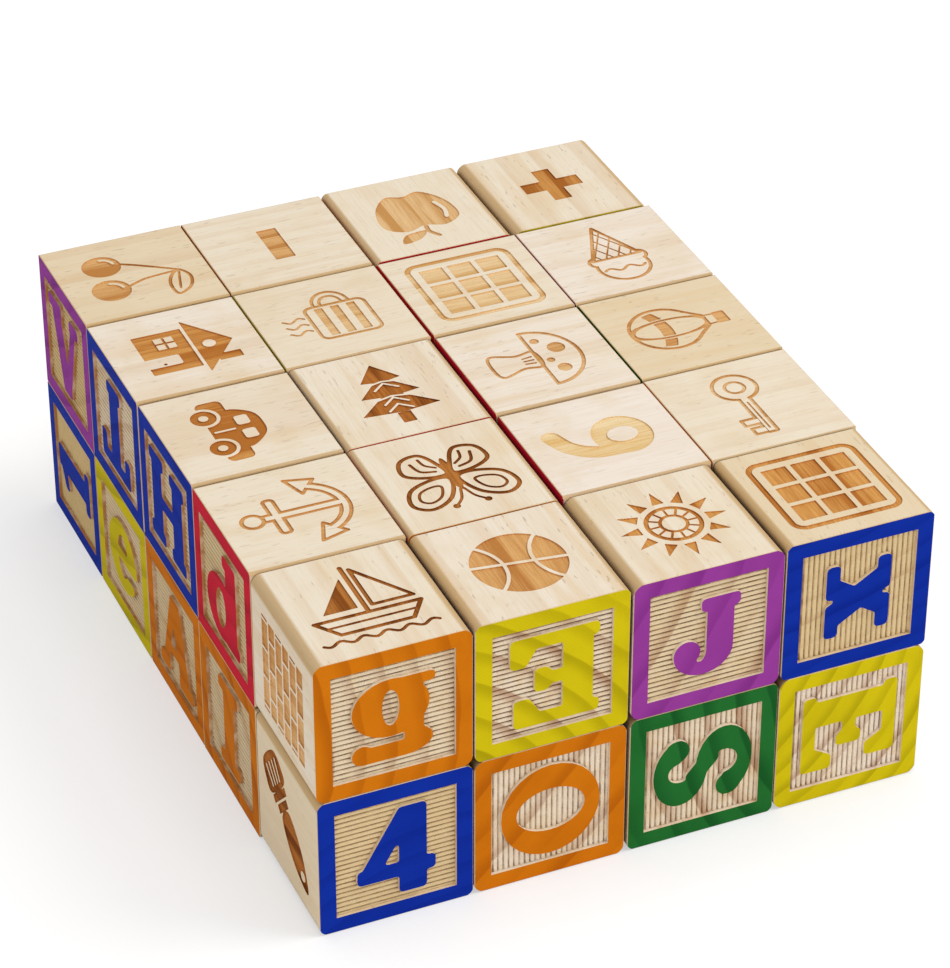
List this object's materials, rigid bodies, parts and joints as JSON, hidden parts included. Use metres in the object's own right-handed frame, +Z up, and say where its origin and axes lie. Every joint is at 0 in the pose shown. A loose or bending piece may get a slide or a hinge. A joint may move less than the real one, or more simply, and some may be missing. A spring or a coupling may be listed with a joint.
{
  "type": "alphabet block set",
  "caption": "Wooden alphabet blocks packed in two layers; each is a cube with a raised painted letter in a sunk framed panel on two ends and bare wood sides, and lifts off by itself.",
  "frame": {"origin": "centre of the stack on the surface it stands on", "axes": "+X right along the front, +Y to the back, +Z up"},
  "size_m": [0.1213, 0.1514, 0.06],
  "materials": {
    "bare_softwood": "sanded, bare sides; satin paint on the framed ends"
  },
  "bodies": {
    "block_blue_4_W": {"block_blue_4_W": "bare_softwood"},
    "block_orange_O_P": {"block_orange_O_P": "bare_softwood"},
    "block_green_S_F": {"block_green_S_F": "bare_softwood"},
    "block_yellow_E_L": {"block_yellow_E_L": "bare_softwood"},
    "block_orange_I_Z": {"block_orange_I_Z": "bare_softwood"},
    "block_blue_n_N": {"block_blue_n_N": "bare_softwood"},
    "block_purple_C_R": {"block_purple_C_R": "bare_softwood"},
    "block_red_G_4": {"block_red_G_4": "bare_softwood"},
    "block_orange_A_a": {"block_orange_A_a": "bare_softwood"},
    "block_green_D_X": {"block_green_D_X": "bare_softwood"},
    "block_yellow_Q_1": {"block_yellow_Q_1": "bare_softwood"},
    "block_blue_M_S": {"block_blue_M_S": "bare_softwood"},
    "block_yellow_e_O": {"block_yellow_e_O": "bare_softwood"},
    "block_red_T_H": {"block_red_T_H": "bare_softwood"},
    "block_green_V_J": {"block_green_V_J": "bare_softwood"},
    "block_orange_U_e": {"block_orange_U_e": "bare_softwood"},
    "block_blue_1_I": {"block_blue_1_I": "bare_softwood"},
    "block_purple_a_Y": {"block_purple_a_Y": "bare_softwood"},
    "block_green_g_Z": {"block_green_g_Z": "bare_softwood"},
    "block_red_b_E": {"block_red_b_E": "bare_softwood"},
    "block_orange_g_G": {"block_orange_g_G": "bare_softwood"},
    "block_yellow_E_7": {"block_yellow_E_7": "bare_softwood"},
    "block_purple_J_2": {"block_purple_J_2": "bare_softwood"},
    "block_blue_x_5": {"block_blue_x_5": "bare_softwood"},
    "block_red_d_D": {"block_red_d_D": "bare_softwood"},
    "block_orange_K_8": {"block_orange_K_8": "bare_softwood"},
    "block_red_P_p": {"block_red_P_p": "bare_softwood"},
    "block_orange_Y_9": {"block_orange_Y_9": "bare_softwood"},
    "block_blue_H_b": {"block_blue_H_b": "bare_softwood"},
    "block_red_L_3": {"block_red_L_3": "bare_softwood"},
    "block_red_F_Q": {"block_red_F_Q": "bare_softwood"},
    "block_green_U_u": {"block_green_U_u": "bare_softwood"},
    "block_blue_T_0": {"block_blue_T_0": "bare_softwood"},
    "block_yellow_C_6": {"block_yellow_C_6": "bare_softwood"},
    "block_red_B_W": {"block_red_B_W": "bare_softwood"},
    "block_purple_M_R": {"block_purple_M_R": "bare_softwood"},
    "block_purple_V_A": {"block_purple_V_A": "bare_softwood"},
    "block_orange_Z_K": {"block_orange_Z_K": "bare_softwood"},
    "block_red_S_q": {"block_red_S_q": "bare_softwood"},
    "block_yellow_N_B": {"block_yellow_N_B": "bare_softwood"}
  },
  "joints": [
    {"name": "lift_blue_4_W", "type": "slide", "parent": "block_green_D_X", "child": "block_blue_4_W", "axis": [0, 0, 1], "range_m": [0, 0.04]},
    {"name": "lift_orange_O_P", "type": "slide", "parent": "block_green_D_X", "child": "block_orange_O_P", "axis": [0, 0, 1], "range_m": [0, 0.04]},
    {"name": "lift_green_S_F", "type": "slide", "parent": "block_green_D_X", "child": "block_green_S_F", "axis": [0, 0, 1], "range_m": [0, 0.04]},
    {"name": "lift_yellow_E_L", "type": "slide", "parent": "block_green_D_X", "child": "block_yellow_E_L", "axis": [0, 0, 1], "range_m": [0, 0.04]},
    {"name": "lift_orange_I_Z", "type": "slide", "parent": "block_green_D_X", "child": "block_orange_I_Z", "axis": [0, 0, 1], "range_m": [0, 0.04]},
    {"name": "lift_blue_n_N", "type": "slide", "parent": "block_green_D_X", "child": "block_blue_n_N", "axis": [0, 0, 1], "range_m": [0, 0.04]},
    {"name": "lift_purple_C_R", "type": "slide", "parent": "block_green_D_X", "child": "block_purple_C_R", "axis": [0, 0, 1], "range_m": [0, 0.04]},
    {"name": "lift_red_G_4", "type": "slide", "parent": "block_green_D_X", "child": "block_red_G_4", "axis": [0, 0, 1], "range_m": [0, 0.04]},
    {"name": "lift_orange_A_a", "type": "slide", "parent": "block_green_D_X", "child": "block_orange_A_a", "axis": [0, 0, 1], "range_m": [0, 0.04]},
    {"name": "lift_yellow_Q_1", "type": "slide", "parent": "block_green_D_X", "child": "block_yellow_Q_1", "axis": [0, 0, 1], "range_m": [0, 0.04]},
    {"name": "lift_blue_M_S", "type": "slide", "parent": "block_green_D_X", "child": "block_blue_M_S", "axis": [0, 0, 1], "range_m": [0, 0.04]},
    {"name": "lift_yellow_e_O", "type": "slide", "parent": "block_green_D_X", "child": "block_yellow_e_O", "axis": [0, 0, 1], "range_m": [0, 0.04]},
    {"name": "lift_red_T_H", "type": "slide", "parent": "block_green_D_X", "child": "block_red_T_H", "axis": [0, 0, 1], "range_m": [0, 0.04]},
    {"name": "lift_green_V_J", "type": "slide", "parent": "block_green_D_X", "child": "block_green_V_J", "axis": [0, 0, 1], "range_m": [0, 0.04]},
    {"name": "lift_orange_U_e", "type": "slide", "parent": "block_green_D_X", "child": "block_orange_U_e", "axis": [0, 0, 1], "range_m": [0, 0.04]},
    {"name": "lift_blue_1_I", "type": "slide", "parent": "block_green_D_X", "child": "block_blue_1_I", "axis": [0, 0, 1], "range_m": [0, 0.04]},
    {"name": "lift_purple_a_Y", "type": "slide", "parent": "block_green_D_X", "child": "block_purple_a_Y", "axis": [0, 0, 1], "range_m": [0, 0.04]},
    {"name": "lift_green_g_Z", "type": "slide", "parent": "block_green_D_X", "child": "block_green_g_Z", "axis": [0, 0, 1], "range_m": [0, 0.04]},
    {"name": "lift_red_b_E", "type": "slide", "parent": "block_green_D_X", "child": "block_red_b_E", "axis": [0, 0, 1], "range_m": [0, 0.04]},
    {"name": "lift_orange_g_G", "type": "slide", "parent": "block_blue_4_W", "child": "block_orange_g_G", "axis": [0, 0, 1], "range_m": [0, 0.04]},
    {"name": "lift_yellow_E_7", "type": "slide", "parent": "block_orange_O_P", "child": "block_yellow_E_7", "axis": [0, 0, 1], "range_m": [0, 0.04]},
    {"name": "lift_purple_J_2", "type": "slide", "parent": "block_green_S_F", "child": "block_purple_J_2", "axis": [0, 0, 1], "range_m": [0, 0.04]},
    {"name": "lift_blue_x_5", "type": "slide", "parent": "block_yellow_E_L", "child": "block_blue_x_5", "axis": [0, 0, 1], "range_m": [0, 0.04]},
    {"name": "lift_red_d_D", "type": "slide", "parent": "block_orange_I_Z", "child": "block_red_d_D", "axis": [0, 0, 1], "range_m": [0, 0.04]},
    {"name": "lift_orange_K_8", "type": "slide", "parent": "block_blue_n_N", "child": "block_orange_K_8", "axis": [0, 0, 1], "range_m": [0, 0.04]},
    {"name": "lift_red_P_p", "type": "slide", "parent": "block_purple_C_R", "child": "block_red_P_p", "axis": [0, 0, 1], "range_m": [0, 0.04]},
    {"name": "lift_orange_Y_9", "type": "slide", "parent": "block_red_G_4", "child": "block_orange_Y_9", "axis": [0, 0, 1], "range_m": [0, 0.04]},
    {"name": "lift_blue_H_b", "type": "slide", "parent": "block_orange_A_a", "child": "block_blue_H_b", "axis": [0, 0, 1], "range_m": [0, 0.04]},
    {"name": "lift_red_L_3", "type": "slide", "parent": "block_green_D_X", "child": "block_red_L_3", "axis": [0, 0, 1], "range_m": [0, 0.04]},
    {"name": "lift_red_F_Q", "type": "slide", "parent": "block_yellow_Q_1", "child": "block_red_F_Q", "axis": [0, 0, 1], "range_m": [0, 0.04]},
    {"name": "lift_green_U_u", "type": "slide", "parent": "block_blue_M_S", "child": "block_green_U_u", "axis": [0, 0, 1], "range_m": [0, 0.04]},
    {"name": "lift_blue_T_0", "type": "slide", "parent": "block_yellow_e_O", "child": "block_blue_T_0", "axis": [0, 0, 1], "range_m": [0, 0.04]},
    {"name": "lift_yellow_C_6", "type": "slide", "parent": "block_red_T_H", "child": "block_yellow_C_6", "axis": [0, 0, 1], "range_m": [0, 0.04]},
    {"name": "lift_red_B_W", "type": "slide", "parent": "block_green_V_J", "child": "block_red_B_W", "axis": [0, 0, 1], "range_m": [0, 0.04]},
    {"name": "lift_purple_M_R", "type": "slide", "parent": "block_orange_U_e", "child": "block_purple_M_R", "axis": [0, 0, 1], "range_m": [0, 0.04]},
    {"name": "lift_purple_V_A", "type": "slide", "parent": "block_blue_1_I", "child": "block_purple_V_A", "axis": [0, 0, 1], "range_m": [0, 0.04]},
    {"name": "lift_orange_Z_K", "type": "slide", "parent": "block_purple_a_Y", "child": "block_orange_Z_K", "axis": [0, 0, 1], "range_m": [0, 0.04]},
    {"name": "lift_red_S_q", "type": "slide", "parent": "block_green_g_Z", "child": "block_red_S_q", "axis": [0, 0, 1], "range_m": [0, 0.04]},
    {"name": "lift_yellow_N_B", "type": "slide", "parent": "block_red_b_E", "child": "block_yellow_N_B", "axis": [0, 0, 1], "range_m": [0, 0.04]}
  ]
}
